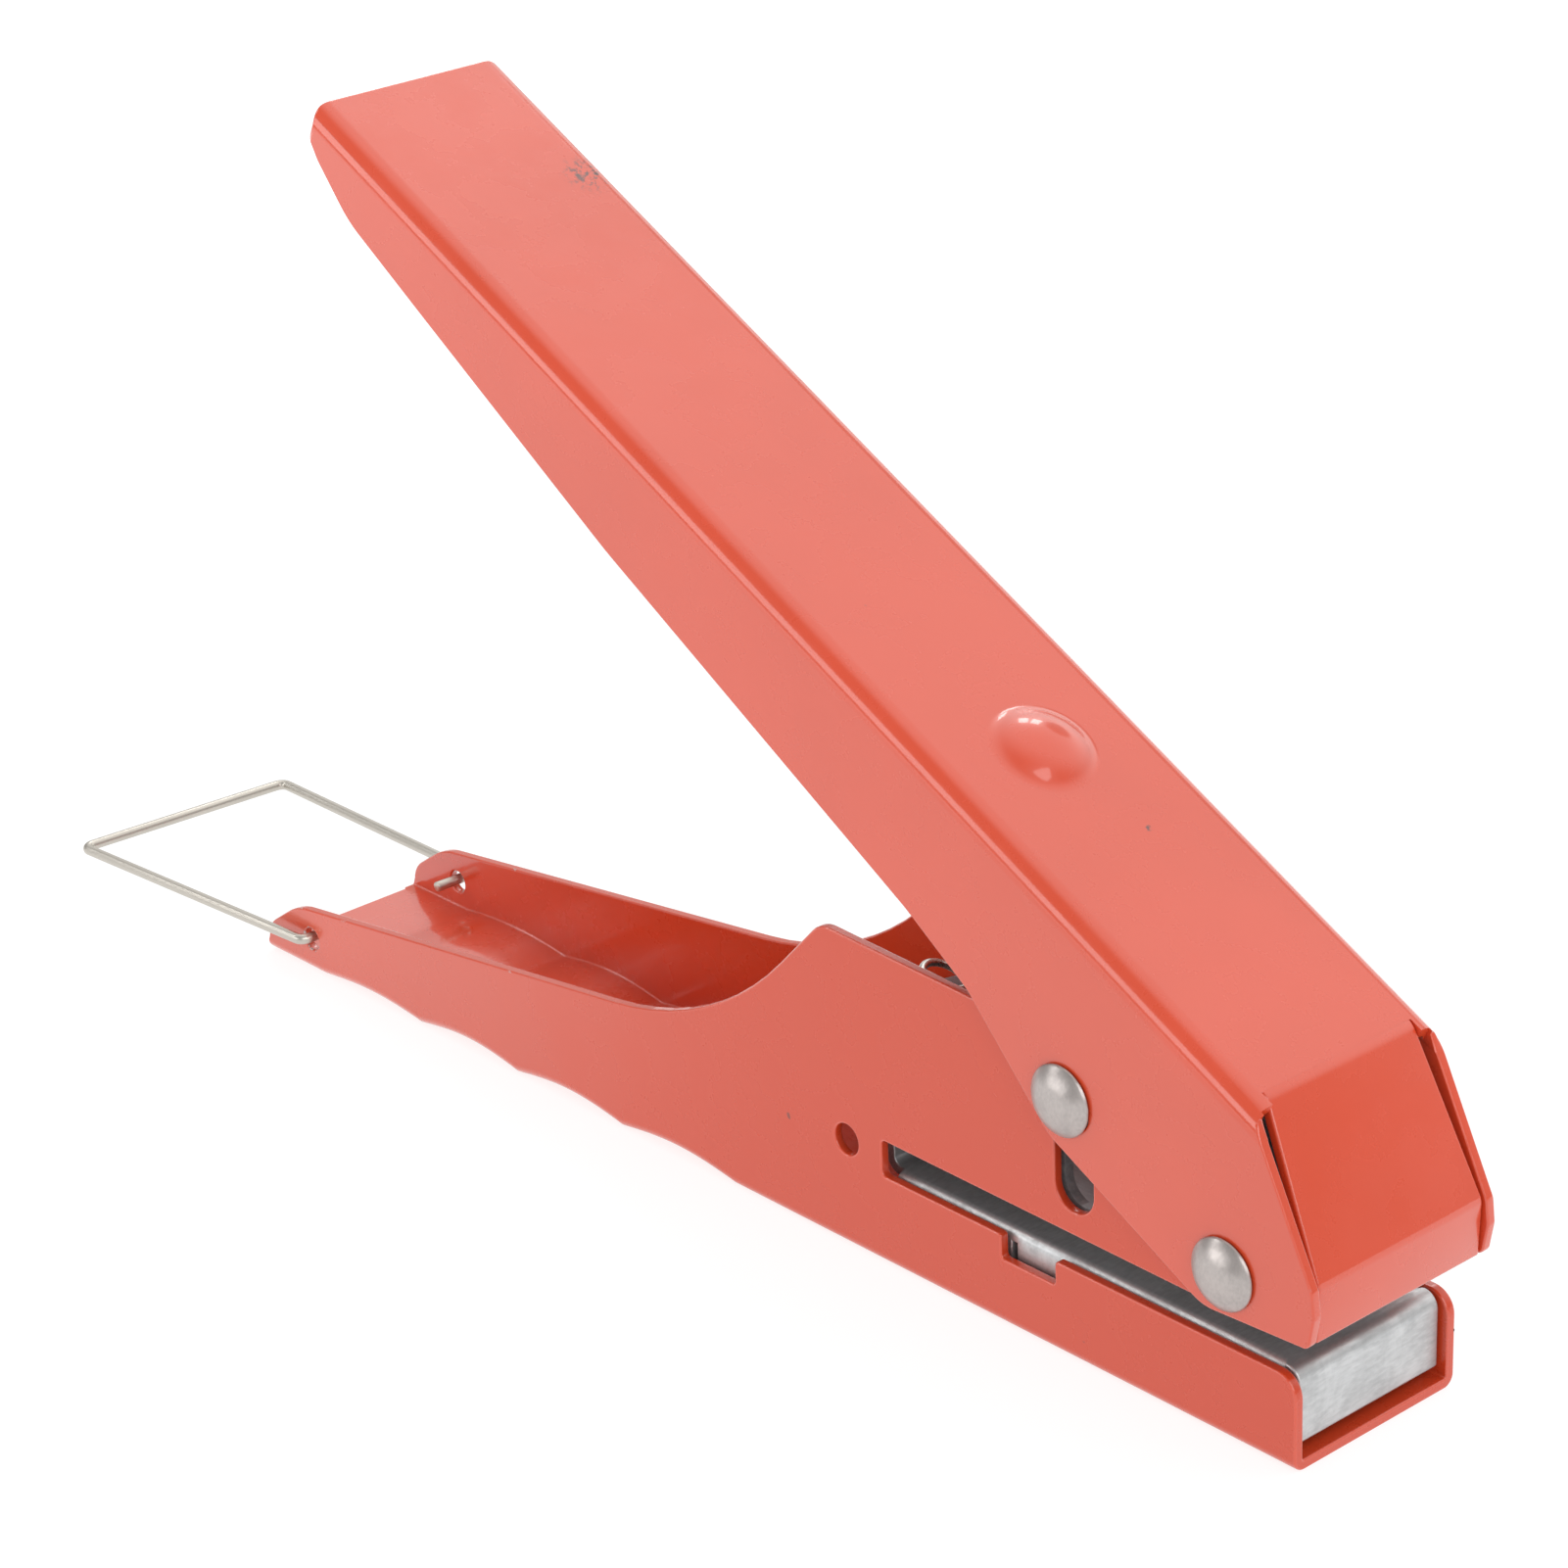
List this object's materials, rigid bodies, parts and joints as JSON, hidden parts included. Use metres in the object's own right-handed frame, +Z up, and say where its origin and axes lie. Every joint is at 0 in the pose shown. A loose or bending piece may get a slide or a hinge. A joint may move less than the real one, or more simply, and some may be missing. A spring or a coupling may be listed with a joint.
{
  "type": "hand lever punch press",
  "caption": "Deep-throat plier-type hand press of folded sheet steel: hinged lever, guided round punch over a die, return spring and wire bail lock.",
  "frame": {"origin": "centre of the bounding box in plan, on the ground under the frame, with the lever open as it stands in the picture", "axes": "+X along the frame towards the jaws, +Y to the tool's left, +Z up"},
  "size_m": [0.1774, 0.0264, 0.0951],
  "materials": {
    "red_paint": "gloss enamel over folded sheet steel",
    "zinc_steel": "zinc-coated sheet, lightly brushed",
    "tool_steel": "ground tool steel",
    "nickel_plate": "satin nickel plate",
    "spring_wire": "plain spring wire"
  },
  "bodies": {
    "frame": {"base_frame": "red_paint", "die_channel": "zinc_steel", "die_button": "tool_steel", "punch_guide": "zinc_steel", "spring_peg": "nickel_plate", "pivot_spacer": "zinc_steel", "pivot_rivet": "nickel_plate", "return_spring": "spring_wire"},
    "lever": {"lever": "red_paint"},
    "punch": {"punch": "tool_steel", "drive_rivet": "nickel_plate", "drive_roller_near": "tool_steel", "drive_roller_far": "tool_steel"},
    "bail": {"bail_wire": "nickel_plate"}
  },
  "joints": [
    {"name": "lever_hinge", "type": "hinge", "parent": "frame", "child": "lever", "pos_m": [0.07882, 0, 0.01703], "axis": [0, -1, 0], "range_deg": [0, 26], "stiffness_Nm_per_rad": 2.1, "springref_deg": -5.16, "deforming": ["return_spring"]},
    {"name": "punch_slide", "type": "slide", "parent": "frame", "child": "punch", "axis": [0, 0, -1], "range_m": [0, 0.0093]},
    {"name": "bail_hinge", "type": "hinge", "parent": "frame", "child": "bail", "pos_m": [-0.05045, 0, 0.00405], "axis": [0, 1, 0], "range_deg": [-3, 117]}
  ],
  "couplings": [
    {"joint": "punch_slide", "follows": "lever_hinge", "m_per_rad": 0.0204}
  ]
}
